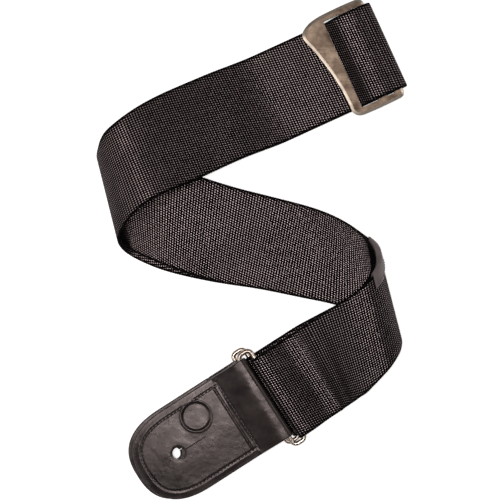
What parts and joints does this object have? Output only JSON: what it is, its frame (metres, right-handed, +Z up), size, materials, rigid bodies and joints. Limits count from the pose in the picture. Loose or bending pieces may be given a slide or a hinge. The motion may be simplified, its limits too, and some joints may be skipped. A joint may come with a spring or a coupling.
{
  "type": "guitar strap",
  "caption": "Woven guitar strap folded in a Z, with a metal slider at one bend and leather button-hole ends on wire rings.",
  "frame": {"origin": "centre of the bounding box's underside, on the surface that the folded strap lies on", "axes": "+Z up out of that surface, +Y along the folded strap's longest extent towards the slider, +X to the right when seen from above with the slider at the top"},
  "size_m": [0.169, 0.2726, 0.0279],
  "materials": {
    "webbing": "black polyester webbing, plain weave with a soft satin glint",
    "leather": "smooth black leather, satin, burnished edges",
    "backing": "black split leather, matt",
    "core": "brown stiffener board, matt",
    "thread": "black waxed sewing thread",
    "slider_metal": "antique nickel on cast metal, brushed, bright worn edges",
    "ring_metal": "antique nickel on steel wire"
  },
  "bodies": {
    "strap": {"webbing_long_run": "webbing", "webbing_adjuster_run": "webbing", "webbing_bridge": "webbing", "webbing_return_strand": "webbing", "long_run_tack_thread": "thread", "edge_label": "leather", "label_thread": "thread"},
    "slider": {"slider_frame": "slider_metal", "webbing_sewn_end": "webbing"},
    "front_ring": {"front_ring": "ring_metal"},
    "front_end": {"front_end_face": "leather", "front_end_backing": "backing", "front_end_core": "core", "front_end_edge_thread": "thread", "front_end_cross_thread": "thread"},
    "rear_ring": {"rear_ring": "ring_metal"},
    "rear_end": {"rear_end_face": "leather", "rear_end_backing": "backing", "rear_end_core": "core", "rear_end_edge_thread": "thread", "rear_end_cross_thread": "thread"}
  },
  "joints": [
    {"name": "slider_slide", "type": "slide", "parent": "strap", "child": "slider", "axis": [-0.9092, -0.4163, 0], "range_m": [0, 0.015], "deforming": ["webbing_bridge", "webbing_return_strand"]},
    {"name": "front_ring_swing", "type": "hinge", "parent": "strap", "child": "front_ring", "pos_m": [0.01458, -0.07988, 0.0094], "axis": [-0.5402, 0.8415, 0], "range_deg": [0, 45]},
    {"name": "front_end_swing", "type": "hinge", "parent": "front_ring", "child": "front_end", "pos_m": [0.00835, -0.08388, 0.0094], "axis": [-0.5402, 0.8415, 0], "range_deg": [0, 90]},
    {"name": "rear_ring_swing", "type": "hinge", "parent": "strap", "child": "rear_ring", "pos_m": [0.01248, -0.08123, 0.0031], "axis": [-0.5402, 0.8415, 0], "range_deg": [-40, 0]},
    {"name": "rear_end_swing", "type": "hinge", "parent": "rear_ring", "child": "rear_end", "pos_m": [0.00625, -0.08523, 0.0031], "axis": [-0.5402, 0.8415, 0], "range_deg": [-60, 0]}
  ]
}
